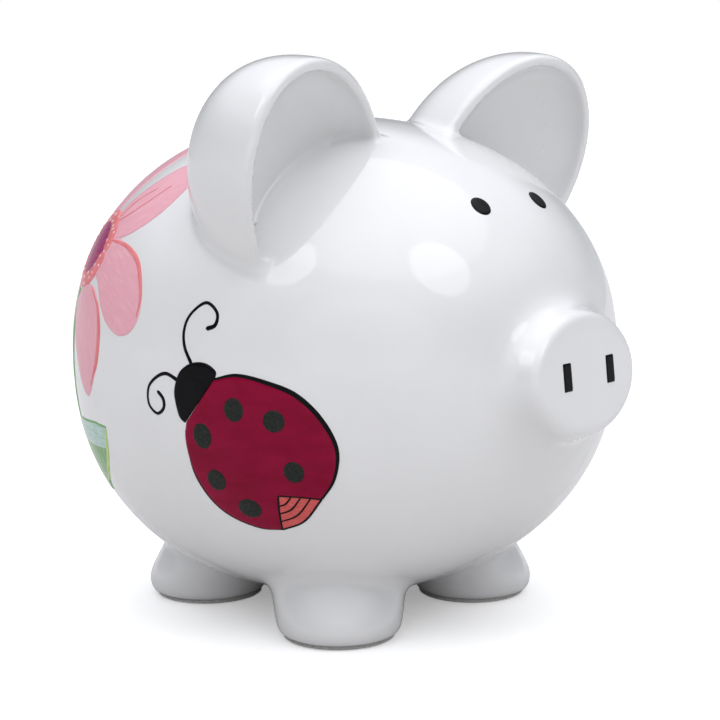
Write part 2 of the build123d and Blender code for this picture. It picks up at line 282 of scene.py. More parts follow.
# ---- Materials ----
class Nodes:
    """A small helper that keeps a material's node code short."""

    def __init__(self, name, **constants):
        self.material = bpy.data.materials.new(name)
        self.material.use_nodes = True
        self.tree = self.material.node_tree
        self.shader = self.tree.nodes["Principled BSDF"]
        for socket, value in constants.items():
            label = socket.replace("_", " ").title().replace("Ior", "IOR")
            self.shader.inputs[label].default_value = value

    def add(self, kind, **values):
        node = self.tree.nodes.new("ShaderNode" + kind)
        for key, value in values.items():
            if key in node.inputs:
                node.inputs[key].default_value = value
            else:
                setattr(node, key, value)
        return node

    def link(self, source, output, target, socket):
        self.tree.links.new(source.outputs[output], target.inputs[socket])

    def place(self, stretch=(1, 1, 1), painted=False):
        """Where a texture is looked up: on the object itself, or along a painted area."""
        where = self.add("TexCoord")
        mapping = self.add("Mapping", Scale=stretch)
        self.link(where, "UV" if painted else "Object", mapping, "Vector")
        return mapping

    def noise(self, at, scale, detail=3.0, rough=0.55, twist=0.0):
        node = self.add("TexNoise", Scale=scale, Detail=detail, Roughness=rough, Distortion=twist)
        self.link(at, "Vector", node, "Vector")
        return node

    def ramp(self, source, output, *stops):
        node = self.add("ValToRGB")
        elements = node.color_ramp.elements
        while len(elements) < len(stops):
            elements.new(0.5)
        for element, (where, colour) in zip(elements, stops):
            element.position = where
            element.color = (*colour, 1)
        self.link(source, output, node, "Fac")
        return node

    def spread(self, source, output, low, high):
        node = self.add("MapRange")
        node.inputs["From Min"].default_value = 0.3
        node.inputs["From Max"].default_value = 0.7
        node.inputs["To Min"].default_value = low
        node.inputs["To Max"].default_value = high
        self.link(source, output, node, "Value")
        return node

    def rough(self, source, low, high):
        self.link(self.spread(source, "Fac", low, high), "Result", self.shader, "Roughness")

    def bump(self, source, output, height):
        node = self.add("Bump", Strength=1.0, Distance=height)
        self.link(source, output, node, "Height")
        self.link(node, "Normal", self.shader, "Normal")


def glaze():
    """Thick white glaze: faint clouds of tint, uneven gloss and a gentle orange peel."""
    n = Nodes("white_glaze", ior=1.52, coat_weight=0.35, coat_roughness=0.03)
    at = n.place()
    clouds = n.noise(at, 26.0, 4.0)
    tint = n.ramp(clouds, "Fac", (0.25, (0.745, 0.745, 0.745)), (0.75, (0.775, 0.777, 0.778)))
    n.link(tint, "Color", n.shader, "Base Color")
    n.rough(n.noise(at, 60.0, 5.0), 0.045, 0.10)
    n.bump(n.noise(at, 90.0, 2.0), "Fac", 0.00006)
    return n.material


def enamel(name, stops, streaks, scale, rough=(0.1, 0.2), twist=0.6, height=0.00005):
    """Brushed enamel: long streaks of the brush, darker where the paint has pooled."""
    n = Nodes(name, ior=1.45, specular_ior_level=0.12)
    at = n.place(streaks, painted=True)
    brush = n.noise(at, scale, 6.0, 0.62, twist)
    tint = n.ramp(brush, "Fac", *stops)
    n.link(tint, "Color", n.shader, "Base Color")
    n.rough(brush, *rough)
    n.bump(brush, "Fac", height)
    return n.material


def felt():
    n = Nodes("felt", sheen_weight=0.3, sheen_roughness=0.5)
    at = n.place()
    wool = n.noise(at, 900.0, 6.0, 0.7)
    tint = n.ramp(wool, "Fac", (0.3, (0.42, 0.41, 0.40)), (0.7, (0.66, 0.65, 0.63)))
    n.link(tint, "Color", n.shader, "Base Color")
    n.rough(wool, 0.85, 1.0)
    n.bump(n.noise(at, 1500.0, 4.0, 0.7), "Fac", 0.0004)
    return n.material


def rubber():
    n = Nodes("rubber", ior=1.5, specular_ior_level=0.35)
    at = n.place()
    grain = n.noise(at, 700.0, 5.0, 0.6)
    tint = n.ramp(grain, "Fac", (0.3, (0.028, 0.028, 0.03)), (0.7, (0.05, 0.05, 0.053)))
    n.link(tint, "Color", n.shader, "Base Color")
    n.rough(n.noise(at, 150.0, 4.0), 0.42, 0.62)
    n.bump(grain, "Fac", 0.00008)
    return n.material


WHITE = glaze()
BLACK = enamel(
    "black_enamel", [(0.3, (0.0015, 0.0015, 0.002)), (0.7, (0.004, 0.004, 0.005))], (1, 1, 1), 2.5
)
CHARCOAL = enamel(
    "charcoal_enamel", [(0.3, (0.010, 0.012, 0.010)), (0.7, (0.028, 0.033, 0.028))], (1, 1, 1), 5.0,
    rough=(0.18, 0.34), twist=3.0, height=0.0002,
)
CRIMSON = enamel(
    "crimson_enamel",
    [(0.15, (0.165, 0.0, 0.016)), (0.5, (0.235, 0.001, 0.028)), (0.85, (0.29, 0.004, 0.045))],
    (0.5, 1.3, 1), 1.1, twist=0.5,
)
CORAL = enamel("coral_enamel", [(0.3, (0.52, 0.075, 0.075)), (0.7, (0.72, 0.14, 0.13))], (1, 3, 1), 4.0)
PINK = enamel(
    "pink_enamel",
    [
        (0.25, (0.86, 0.49, 0.54)), (0.5, (0.77, 0.38, 0.45)), (0.68, (0.83, 0.45, 0.51)),
        (0.85, (0.70, 0.22, 0.26)),
    ],
    (0.35, 3.2, 1), 2.6, twist=0.9,
)
ROSE = enamel("rose_enamel", [(0.3, (0.70, 0.15, 0.16)), (0.7, (0.80, 0.27, 0.28))], (0.5, 3, 1), 3.0)
MAGENTA = enamel(
    "magenta_enamel",
    [(0.2, (0.14, 0.02, 0.16)), (0.5, (0.34, 0.03, 0.14)), (0.8, (0.60, 0.10, 0.12))],
    (1, 1, 1), 3.0, twist=2.0,
)
BLUSH = enamel("blush_enamel", [(0.3, (0.80, 0.50, 0.52)), (0.7, (0.90, 0.68, 0.68))], (1, 1, 1), 5.0)
GREEN = enamel(
    "green_enamel",
    [(0.25, (0.10, 0.26, 0.07)), (0.5, (0.20, 0.40, 0.16)), (0.75, (0.33, 0.52, 0.33))],
    (2.6, 0.5, 1), 2.0, twist=0.7,
)
# Pale mint for the painted reflection along the top of the grass.
REFLECTION_MINT = enamel("painted_reflection_mint", [(0.3, (0.34, 0.53, 0.47)), (0.7, (0.58, 0.72, 0.66))], (0.5, 2.5, 1), 3.0)
# Lime for the painted highlight on the right edge of the grass.
HIGHLIGHT_LIME = enamel("painted_highlight_lime", [(0.3, (0.45, 0.62, 0.20)), (0.7, (0.62, 0.76, 0.36))], (1, 1, 1), 5.0)
FELT = felt()
RUBBER = rubber()


# ---- The glazed body and what is modelled onto it ----
def grid_lines(low, high, coarse, *fine):
    """Grid lines from low to high, closer together in each (from, to, step) band."""
    marks = [low]
    while marks[-1] < high:
        step = coarse
        for start, end, small in fine:
            if start - 0.01 <= marks[-1] < end:
                step = min(step, small)
        marks.append(marks[-1] + step)
    return np.array(marks)


# Finer bands follow the slot, the hole, the seat and the crown.
body_lines = [
    grid_lines(-101.5, 101.5, 2.3, (-24, 24, 1.1), (-6, 6, 0.55)),
    grid_lines(-100.5, 106.0, 2.3, (-12, 36, 1.1), (26, 74, 1.3)),
    grid_lines(3.0, 188.0, 2.2, (3, 16, 0.8), (174, 188, 0.9)),
]
piece(skin_mesh("body_glaze", shell_field, body_lines), WHITE, "white_glaze", "body_shell")


SINK = 2.6  # how far a modelled piece goes into the body's wall


def modelled_on(name, own, reach, step, node):
    """A piece that flows out of the body with its own rounded inside corner."""
    low, high = (np.array(corner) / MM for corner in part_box(node))

    def flowing(p):
        return blend_min(body_field(p), own(p), reach)

    def cut(p):
        skin, near = body_field(p), own(p)
        dip = 0.06 * np.clip((near - 0.55 * reach) / (0.4 * reach), 0, 1)
        return np.maximum(np.maximum(flowing(p) + dip, -(skin + SINK)), near - reach)

    margin = reach + 3
    lines = [lines_between(a - margin, b + margin, step) for a, b in zip(low, high)]
    return skin_mesh(name, cut, lines, shade=flowing)


def other_side(name, obj):
    """The mirror image of a piece, for the pig's other side."""
    mesh = obj.data.copy()
    mesh.name = name
    normals = [Vector((-v.x, v.y, v.z)) for v in (c.vector for c in obj.data.corner_normals)]
    count = len(mesh.vertices)
    where = np.empty(count * 3)
    mesh.vertices.foreach_get("co", where)
    where = where.reshape(-1, 3) * (-1, 1, 1)
    faces = [tuple(reversed(p.vertices)) for p in mesh.polygons]
    per_vertex = [None] * count
    for loop in obj.data.loops:
        per_vertex[loop.vertex_index] = normals[loop.index]
    return mesh_object(name, where / MM, faces, [tuple(n) for n in per_vertex])


for label, own, reach, step in (
    ("ear", ear_field, 5.0, 1.1),
    ("foot_front", lambda p: foot_field(p, FEET["front_right"]), 7.0, 1.15),
    ("foot_rear", lambda p: foot_field(p, FEET["rear_right"]), 7.0, 1.15),
):
    right = modelled_on(label + "_right_glaze", own, reach, step, label + "_right")
    left = other_side(label + "_left_glaze", right)
    piece(right, WHITE, "white_glaze", label + "_right")
    piece(left, WHITE, "white_glaze", label + "_left")
piece(modelled_on("snout_glaze", snout_field, 13.0, 1.1, "snout"), WHITE, "white_glaze", "snout")
piece(modelled_on("tail_glaze", tail_field, 3.0, 0.6, "tail"), WHITE, "white_glaze", "tail")


def turned(name, profile, centre, sides=96):
    """A closed solid of revolution about a vertical line, from (radius, height) pairs."""
    rings = [(r, z) for r, z in profile if r > 0]
    points = [(centre[0], centre[1], profile[0][1])]
    for r, z in rings:
        for side in range(sides):
            turn = 2 * pi * side / sides
            points.append((centre[0] + r * cos(turn), centre[1] + r * sin(turn), z))
    points.append((centre[0], centre[1], profile[-1][1]))
    faces = []
    for side in range(sides):
        after = (side + 1) % sides
        faces.append((0, 1 + after, 1 + side))
        for ring in range(len(rings) - 1):
            a, b = 1 + ring * sides, 1 + (ring + 1) * sides
            faces.append((a + side, a + after, b + after, b + side))
        a = 1 + (len(rings) - 1) * sides
        faces.append((a + side, a + after, len(points) - 1))
    return mesh_object(name, points, faces)


# Outlines from the axis below, round the rim, and back to the axis above.
PAD_OUTLINE = [
    (0, 0.05), (12, 0.05), (18.5, 0.05), (19.7, 0.15), (20.15, 0.45), (PAD_RADIUS, 0.8), (20.0, 1.2),
    (19.6, 1.5), (12, 1.5), (0, 1.5),
]
PLUG_OUTLINE = [
    # The flange, with a moulded ring round its middle
    (0, 5.2), (7.6, 5.2), (8.0, 5.05), (8.3, 4.75), (8.8, 4.6), (9.4, 4.75), (9.8, 5.0), (10.4, 5.0),
    (16.6, 4.55), (17.9, 4.45), (18.5, 4.75), (STOPPER_RADIUS, 5.4), (18.75, 6.8), (18.3, 7.4), (17.4, 7.55),
    # The neck, with the rib that grips the hole
    (15.6, 7.6), (14.7, 7.9), (14.3, 8.6), (14.3, 11.6), (14.6, 12.0), (STOPPER_NECK, 12.6),
    (STOPPER_NECK, 14.0), (14.5, 14.8), (14.1, 15.4), (14.1, 17.4), (13.9, 18.6), (12.8, 20.1),
    # The hollow end
    (11.4, STOPPER_TOP), (9.6, 20.6), (9.0, 20.0), (8.6, 12.0), (8.0, 11.2), (0, 11.0),
]
for label, (x, y) in FEET.items():
    piece(turned("felt_pad_" + label, PAD_OUTLINE, (x, y)), FELT, "felt", "foot_pad_" + label)
piece(
    turned("stopper_plug", PLUG_OUTLINE, (0, BODY[1])), RUBBER, "rubber", "stopper", body="stopper"
)


# ---- Painted decoration ----
LIFT_STEPS = 14  # Newton steps that bring a sketch point onto the body
ROOT_DEPTH = 0.35  # how far paint goes into the glaze below it
PAINT_SCALE = 0.1  # the paint's texture units for each millimetre


def smooth_line(points, closed=False, per_span=8):
    """A smooth curve through the points, as in a spline drawn by hand."""
    pts = np.asarray(points, float)
    if closed:
        pts = np.concatenate([pts[-1:], pts, pts[:2]])
    else:
        pts = np.concatenate([[2 * pts[0] - pts[1]], pts, [2 * pts[-1] - pts[-2]]])
    out = []
    for a, b, c, d in zip(pts, pts[1:], pts[2:], pts[3:]):
        ta = max(hypot(*(b - a)), 1e-6) ** 0.5
        tb = max(hypot(*(c - b)), 1e-6) ** 0.5
        tc = max(hypot(*(d - c)), 1e-6) ** 0.5
        m1 = (c - b) + tb * ((b - a) / ta - (c - a) / (ta + tb))
        m2 = (c - b) + tb * ((d - c) / tc - (d - b) / (tb + tc))
        for t in np.linspace(0, 1, per_span, endpoint=False):
            out.append(
                (2 * t**3 - 3 * t**2 + 1) * b
                + (t**3 - 2 * t**2 + t) * m1
                + (3 * t**2 - 2 * t**3) * c
                + (t**3 - t**2) * m2
            )
    if not closed:
        out.append(pts[-2])
    return np.array(out)


class Place:
    """A flat sketch touching the body: u runs level, v runs up the skin."""

    def __init__(self, longitude, latitude):
        lon, lat = radians(longitude), radians(latitude)
        way = np.array([-sin(lon) * cos(lat), -cos(lon) * cos(lat), sin(lat)])
        halves = np.array(
            [HALF_WIDTH, FRONT if way[1] < 0 else REAR, UPPER if way[2] > 0 else LOWER]
        )
        reach = (np.abs(way / halves) ** ROUNDNESS).sum() ** (-1 / ROUNDNESS)
        normal = np.abs(way * reach / halves) ** (ROUNDNESS - 1) / halves * np.sign(way)
        self.normal = normal / np.linalg.norm(normal)
        self.centre = BODY + way * reach
        self.u = np.array([-self.normal[1], self.normal[0], 0])
        self.u = self.u / np.linalg.norm(self.u)
        self.v = np.cross(self.normal, self.u)

    def lift(self, flat, height):
        """Puts flat (u, v) points on the body, height above its skin."""
        flat = np.asarray(flat, float)
        start = self.centre + flat[:, :1] * self.u + flat[:, 1:2] * self.v
        depth = np.zeros(len(flat))
        for _ in range(LIFT_STEPS):
            at = start + depth[:, None] * self.normal
            here = body_field(at)
            rate = (body_field(at + 0.05 * self.normal) - here) / 0.05
            depth -= np.clip(here / np.maximum(rate, 0.15), -12, 12)
        at = start + depth[:, None] * self.normal
        out = slope_of(body_field, at)
        out /= np.linalg.norm(out, axis=1)[:, None]
        return at + out * np.asarray(height, float).reshape(-1, 1), out


class SnoutFace:
    """The flat front of the snout: u runs to the pig's left, v runs up."""

    u = np.array([1.0, 0.0, 0.0])
    normal = np.array([0, -cos(SNOUT_TILT), sin(SNOUT_TILT)])

    def lift(self, flat, height):
        up = np.cross(self.normal, self.u)
        flat = np.asarray(flat, float)
        at = SNOUT + flat[:, :1] * self.u + flat[:, 1:2] * up
        out = np.tile(self.normal, (len(flat), 1))
        return at + out * np.asarray(height, float).reshape(-1, 1), out


def gap_to(points, outline):
    """How far each point is from an outline."""
    ends = np.roll(outline, -1, 0)
    best = np.full(len(points), 1e9)
    for a, b in zip(outline, ends):
        run = b - a
        share = np.clip(((points - a) @ run) / max(run @ run, 1e-9), 0, 1)
        best = np.minimum(best, np.linalg.norm(points - a - share[:, None] * run, axis=1))
    return best


def is_inside(points, outline):
    ends = np.roll(outline, -1, 0)
    odd = np.zeros(len(points), bool)
    for (ax, ay), (bx, by) in zip(outline, ends):
        if ay == by:
            continue
        spans = (ay > points[:, 1]) != (by > points[:, 1])
        odd ^= spans & (points[:, 0] < (bx - ax) * (points[:, 1] - ay) / (by - ay) + ax)
    return odd


def even(outline, step):
    """The same outline with points a step apart."""
    outline = np.asarray(outline, float)
    loop = np.concatenate([outline, outline[:1]])
    runs = np.concatenate([[0], np.cumsum(np.linalg.norm(np.diff(loop, axis=0), axis=1))])
    count = max(12, int(round(runs[-1] / step)))
    at = np.linspace(0, runs[-1], count, endpoint=False)
    return np.stack([np.interp(at, runs, loop[:, n]) for n in (0, 1)], -1)


def patch(name, place, outline, thick=0.3, step=1.2, soft=0.7, base=0.0, keep=None):
    """A coat of enamel with a rounded edge, cut to an outline and laid on the body."""
    rim = even(outline, min(step, 0.8))
    low, high = rim.min(0), rim.max(0)
    across = np.arange(low[0], high[0], step)
    up = np.arange(low[1], high[1], step)
    inner = np.stack(np.meshgrid(across, up), -1).reshape(-1, 2)
    inner = inner[is_inside(inner, rim)]
    rings = [rim]
    along = np.roll(rim, -1, 0) - np.roll(rim, 1, 0)
    along /= np.maximum(np.linalg.norm(along, axis=1), 1e-9)[:, None]
    area = 0.5 * np.sum(rim[:, 0] * np.roll(rim[:, 1], -1) - np.roll(rim[:, 0], -1) * rim[:, 1])
    inwards = np.stack([-along[:, 1], along[:, 0]], -1) * np.sign(area)
    for share in (0.3, 1.0):
        ring = rim + inwards * soft * share
        ok = is_inside(ring, rim) & (gap_to(ring, rim) > 0.92 * soft * share)
        rings.append(ring[ok])
    inner = inner[gap_to(inner, rim) > soft * 1.35]
    points = np.concatenate([*rings, inner])
    count = len(rim)
    edges = [(n, (n + 1) % count) for n in range(count)]
    got = delaunay_2d_cdt([Vector(p) for p in points], edges, [list(range(count))], 1, 1e-5)
    flat = np.array([tuple(p) for p in got[0]])
    faces = [tuple(f) for f in got[2]]
    gap = gap_to(flat, rim)
    share = np.clip(gap / soft, 0, 1)
    height = base + thick * np.sqrt(np.maximum(1 - (1 - share) ** 2, 0))
    top, normals = place.lift(flat, height)
    bottom, _ = place.lift(flat, np.full(len(flat), -ROOT_DEPTH))
    if keep is not None:
        kept = keep(top)
        faces = [f for f in faces if all(kept[n] for n in f)]
    return closed_coat(name, flat, top, bottom, normals, faces)


def closed_coat(name, flat, top, bottom, normals, faces):
    """Joins a coat's top and underside with walls round its open edge."""
    total = len(top)
    used = {}
    for face in faces:
        for a, b in zip(face, face[1:] + face[:1]):
            used[(a, b)] = True
    rim = [(a, b) for a, b in used if (b, a) not in used]
    bottoms = [tuple(n + total for n in reversed(f)) for f in faces]
    walls = [(b, a, a + total, b + total) for a, b in rim]
    every = list(faces) + bottoms + walls
    points = np.concatenate([top, bottom])
    live = sorted({n for f in every for n in f})
    number = {n: i for i, n in enumerate(live)}
    every = [tuple(number[n] for n in f) for f in every]
    obj = mesh_object(name, points[live], every)
    both = np.concatenate([flat, flat])[live]
    layer = obj.data.uv_layers.new(name="paint")
    for loop in obj.data.loops:
        layer.data[loop.index].uv = both[loop.vertex_index] * PAINT_SCALE
    return obj


# Across a stroke: the place from its middle line, and the height, or the root depth below the skin.
STROKE_SECTION = [
    (-1, -ROOT_DEPTH), (-1, 0.0), (-0.8, 0.6), (-0.35, 0.95), (0.35, 0.95), (0.8, 0.6), (1, 0.0),
    (1, -ROOT_DEPTH),
]


def stroke(name, place, points, widths, thick=0.3, base=0.0):
    """A brush stroke: a low rounded ribbon along a line, as wide as widths say on the way."""
    line = smooth_line(points)
    runs = np.concatenate([[0], np.cumsum(np.linalg.norm(np.diff(line, axis=0), axis=1))])
    count = max(12, int(runs[-1] / 0.4))
    at = np.linspace(0, runs[-1], count)
    line = np.stack([np.interp(at, runs, line[:, n]) for n in (0, 1)], -1)
    share = at / runs[-1]
    width = np.interp(share, np.linspace(0, 1, len(widths)), widths)
    tip = np.clip(np.minimum(at, runs[-1] - at) / (0.5 * width), 0.05, 1)
    width = width * np.sqrt(1 - (1 - tip) ** 2)
    along = np.gradient(line, axis=0)
    along /= np.maximum(np.linalg.norm(along, axis=1), 1e-9)[:, None]
    side = np.stack([-along[:, 1], along[:, 0]], -1)
    rings = []
    for off, up in STROKE_SECTION:
        height = base + up * thick if up > 0 else np.full(count, up)
        where = line + side * (off * width / 2)[:, None]
        rings.append(place.lift(where, np.broadcast_to(height, (count,)))[0])
    around = len(STROKE_SECTION)
    total = np.stack(rings, 1).reshape(-1, 3)
    flat = np.repeat(np.stack([share * runs[-1], 0 * share], -1), around, 0)
    flat[:, 1] = np.tile([off for off, _ in STROKE_SECTION], count)
    faces = []
    for n in range(count - 1):
        for k in range(around):
            m = (k + 1) % around
            a, b = n * around, (n + 1) * around
            faces.append((a + k, b + k, b + m, a + m))
    faces.append(tuple(range(around)))
    faces.append(tuple((count - 1) * around + k for k in reversed(range(around))))
    obj = mesh_object(name, total, faces)
    layer = obj.data.uv_layers.new(name="paint")
    for loop in obj.data.loops:
        layer.data[loop.index].uv = flat[loop.vertex_index] * PAINT_SCALE
    return obj


def oval(centre, wide, high, turn=0.0, count=48):
    angle = np.linspace(0, 2 * pi, count, endpoint=False)
    x, y = wide / 2 * np.cos(angle), high / 2 * np.sin(angle)
    return np.stack(
        [centre[0] + x * cos(turn) - y * sin(turn), centre[1] + x * sin(turn) + y * cos(turn)], -1
    )


def coated(material, *objects):
    """Gives each of these its own enamel, before they are joined."""
    for obj in objects:
        obj.data.materials.append(material)
    return list(objects)


def joined(name, objects):
    """One object out of several, so that each CAD node has one piece."""
    with bpy.context.temp_override(active_object=objects[0], selected_editable_objects=objects):
        bpy.ops.object.join()
    objects[0].name = name
    return objects[0]


# Face
EYE_LONGITUDE, EYE_LATITUDE, EYE_WIDTH, EYE_HEIGHT = 11.3, 34.1, 7.8, 8.2
NOSTRIL_X, NOSTRIL_UP, NOSTRIL_WIDTH, NOSTRIL_HEIGHT = 12.9, 0.5, 4.8, 9.8
for side, turn in (("right", 1), ("left", -1)):
    eye = Place(turn * EYE_LONGITUDE, EYE_LATITUDE)
    piece(
        patch("eye_paint_" + side, eye, oval((0, 0), EYE_WIDTH, EYE_HEIGHT), thick=0.35, step=0.8),
        BLACK, "black_enamel", "eye_" + side,
    )
    across, up = NOSTRIL_WIDTH / 2, NOSTRIL_HEIGHT / 2
    corners = [(-across, -up), (across, -up), (across, up), (-across, up)]
    nostril = np.array(corners) + (turn * -NOSTRIL_X, NOSTRIL_UP)
    piece(
        patch("nostril_paint_" + side, SnoutFace(), nostril, thick=0.3, step=0.8, soft=0.4),
        BLACK, "black_enamel", "nostril_" + side,
    )

# Ladybug on the right flank
BUG = Place(62.3, -11.8)
WING_CASE = [
    (-17, 23), (-8.5, 25), (3, 23), (13, 19), (21, 11), (25.5, 0.5),
    (23.5, -10.5), (18.5, -18), (10.5, -27.5), (2, -31.5), (-6.5, -31.5),
    (-19.5, -25.5), (-27.5, -13), (-30, 1), (-29, 7),
]
NOTCH = (3.5, -17)
OPEN_WING = [(18.5, -18), (10.5, -27.5), (2, -31.5)]
HEAD = [
    (-16.5, 23.5), (-16, 25.5), (-20, 28), (-26, 27.5), (-31, 24), (-33.5, 17.5),
    (-33, 12.5), (-31.5, 8), (-29.5, 6.5),
]
SPOTS = [
    ((-9.5, 13.5), 7.3, 8.2), ((5, 10.5), 7.8, 7.6), ((-22.5, 3), 7.3, 9.2), ((-19, -13), 7.2, 8.2),
    ((10.5, -7.5), 7.2, 7.9), ((-8, -23), 8.8, 7.7),
]
FRONT_ANTENNA = [
    (-26, 27), (-29, 32.5), (-29.5, 37.5), (-27.5, 42.5), (-21, 47), (-16.5, 44),
    (-17, 40.5), (-20.5, 39),
]
REAR_ANTENNA = [
    (-32, 21), (-37, 22.5), (-41.5, 20.5), (-45, 16.5), (-45, 10.5), (-41.5, 8),
    (-38.5, 10.5), (-38.5, 13.5), (-41, 16),
]
case = smooth_line(WING_CASE)
first = int(np.argmin(np.linalg.norm(case - OPEN_WING[0], axis=1)))
last = int(np.argmin(np.linalg.norm(case - OPEN_WING[-1], axis=1)))
wings_outline = np.concatenate([case[: first + 1], [NOTCH], case[last:]])
piece(
    patch("ladybug_wing_paint", BUG, wings_outline, thick=0.4, step=1.0, soft=0.9),
    CRIMSON, "crimson_enamel", "ladybug_wings",
)
small_wing = np.concatenate([case[first : last + 1], [NOTCH]])
inside = small_wing.mean(0) + (small_wing - small_wing.mean(0)) * 0.99
piece(
    patch("ladybug_open_wing_paint", BUG, inside, thick=0.25, step=0.8, soft=0.4),
    CORAL, "coral_enamel", "ladybug_open_wing",
)
piece(
    patch("ladybug_head_paint", BUG, smooth_line(HEAD), thick=0.42, step=0.9),
    BLACK, "black_enamel", "ladybug_head",
)
spots = []
for number, (centre, wide, high) in enumerate(SPOTS):
    spot_line = oval(centre, wide, high)
    spots.append(patch(f"spot_{number}", BUG, spot_line, thick=0.28, base=0.38, step=0.6, soft=0.6))
piece(joined("ladybug_spot_paint", spots), CHARCOAL, "charcoal_enamel", "ladybug_spots")
antennae = [
    stroke("antenna_front", BUG, FRONT_ANTENNA, [1.5, 1.1, 0.9, 1.1, 1.5]),
    stroke("antenna_rear", BUG, REAR_ANTENNA, [1.5, 1.1, 0.9, 1.1, 1.5]),
]
piece(joined("ladybug_antenna_paint", antennae), BLACK, "black_enamel", "ladybug_antennae")
bug_lines = [
    stroke("edge_upper", BUG, WING_CASE[:8], [0.9, 1.6, 2.2, 2.0, 1.4, 1.0], base=0.1),
    stroke("edge_lower", BUG, [(-29.5, 4), *WING_CASE[12:8:-1]], [0.5, 0.8, 0.8, 0.5], base=0.05),
    stroke("wing_top", BUG, [NOTCH, (11, -17.1), (18.5, -18)], [0.9, 1.0, 1.0], base=0.1),
    stroke("wing_side", BUG, [NOTCH, (2.5, -24), (2, -31.5)], [0.9, 0.9, 0.9], base=0.1),
    stroke("wing_round", BUG, OPEN_WING, [0.9, 0.9, 0.9], base=0.1),
]
for share in (0.3, 0.52, 0.75):
    arc = [np.array(NOTCH) + (np.array(p) - NOTCH) * share for p in OPEN_WING]
    bug_lines.append(stroke("wing_arc", BUG, arc, [0.6, 0.8, 0.6], base=0.18))
piece(joined("ladybug_line_paint", bug_lines), BLACK, "black_enamel", "ladybug_edge")

# Flower on the right rear quarter
FLOWER = Place(124.4, 25.6)
RING_U, RING_V, RING_RADIUS, RING_SCATTER = 4, -0.8, 12.8, 1.9
PETAL_HALF_WIDTH, POLLEN = 11.5, 34


def clear_of_ear(p):
    """Keeps a petal off the ear, which stands in front of it."""
    return ear_field(p) > 1.2


PETAL = [
    (12, -0.4), (32.2, -0.86), (42.5, -1.0), (51.8, -0.6), (54.5, 0.0), (51.8, 0.6), (42.5, 1.0),
    (32.2, 0.86), (12, 0.4),
]
LOW_PETAL = [
    (9.5, -14.5), (20.5, -14), (27, -18.5), (31, -26), (30.5, -36), (25.5, -46), (21, -50), (16, -48),
    (10, -40), (3, -30), (1, -22), (4, -17),
]
SIDE_PETAL = [
    (16, 4.5), (30, 5.5), (40.5, 3), (46.5, -3), (49.5, -9), (50, -15.5), (47.5, -21), (42.5, -24),
    (35.5, -23), (29.5, -19), (22, -12), (15, -8),
]
HIGH_PETAL = [
    (17, 4.5), (26.5, 8), (33.5, 16), (36, 25), (34, 35), (28, 42), (20, 41), (15.5, 32), (12, 24), (9, 17),
    (10, 12),
]
petals = []
for number, turn in enumerate((-66, -15, 45, 97, 148, 199, 250)):
    away = np.array([cos(radians(turn)), sin(radians(turn))])
    across = np.array([-away[1], away[0]])
    if number < 3:
        flat = smooth_line((LOW_PETAL, SIDE_PETAL, HIGH_PETAL)[number], closed=True)
    else:
        outline = smooth_line([(a, s * PETAL_HALF_WIDTH) for a, s in PETAL])
        flat = outline[:, :1] * away + outline[:, 1:] * across
    petal = patch(f"petal_{number}", FLOWER, flat, thick=0.22, step=1.3, soft=0.8, keep=clear_of_ear)
    layer = petal.data.uv_layers["paint"]
    basis = np.stack([away, across], -1)
    uv = np.empty(len(petal.data.loops) * 2)
    layer.data.foreach_get("uv", uv)
    uv = uv.reshape(-1, 2) @ basis + (0, number * 7.0)
    layer.data.foreach_set("uv", uv.ravel())
    petals += coated(PINK, petal)
LOW_EDGE = [(18, -14), (26.5, -18.8), (30.4, -26), (30, -36), (25, -45.5)]
SIDE_EDGE = [(16, 3.8), (30, 4.9), (40.3, 2.3), (45.9, -3.3), (49, -9.3), (49.3, -15)]
ring = [(RING_U + cos(a) * RING_RADIUS, RING_V + sin(a) * RING_RADIUS) for a in np.linspace(0, 2 * pi, 33)]
petals += coated(
    ROSE,
    stroke("low_petal_edge", FLOWER, LOW_EDGE, [0.4, 1.4, 2.2, 1.8, 0.4], base=0.1),
    stroke("side_petal_edge", FLOWER, SIDE_EDGE, [0.8, 1.6, 2.0, 1.4, 0.4], base=0.1),
    stroke("high_petal_line", FLOWER, [(13, 11), (19, 16), (24, 23), (27, 31)], [0.8, 0.5, 0.25], base=0.1),
    stroke("high_petal_curl", FLOWER, [(12, 13), (15, 20), (21, 28)], [0.7, 0.4, 0.2], base=0.1),
    stroke("flower_ring", FLOWER, ring, [6.6, 5.8, 5.4, 6.2, 6.6], base=0.3, thick=0.2),
)
dots = []
for number in range(POLLEN):
    a = number * 2 * pi / POLLEN
    r = RING_RADIUS + RING_SCATTER * sin(number * 2.4)
    grain = oval((RING_U + r * cos(a), RING_V + r * sin(a)), 1.5, 1.0, a, 12)
    dots.append(patch(f"pollen_{number}", FLOWER, grain, thick=0.15, base=0.46, step=0.5, soft=0.3))
petals += coated(BLUSH, *dots)
piece(joined("flower_petal_paint", petals), None, "pink_enamel", "flower_petals")
piece(
    patch("flower_eye_paint", FLOWER, oval((2.6, -0.6), 29.0, 29.0), thick=0.3, step=1.2, soft=0.9),
    MAGENTA, "magenta_enamel", "flower_eye",
)
stem = [(-1.75, -17), (1.75, -17), (1.75, -72), (-1.75, -72)]
GRASS_PLACE = Place(128.0, -17.0)
GRASS = [
    (37, 6.3), (29, 7.8), (12, 8), (-8, 6), (-30, 10), (-36, -16), (-4, -24), (14, -21.5), (19.3, -16.8),
    (32.5, -4.2),
]
piece(
    patch("flower_stem_paint", FLOWER, stem, thick=0.25, step=1.2, soft=0.7),
    GREEN, "green_enamel", "flower_stem",
)
grass = coated(GREEN, patch("grass", GRASS_PLACE, GRASS, thick=0.25, step=1.3, soft=0.7))
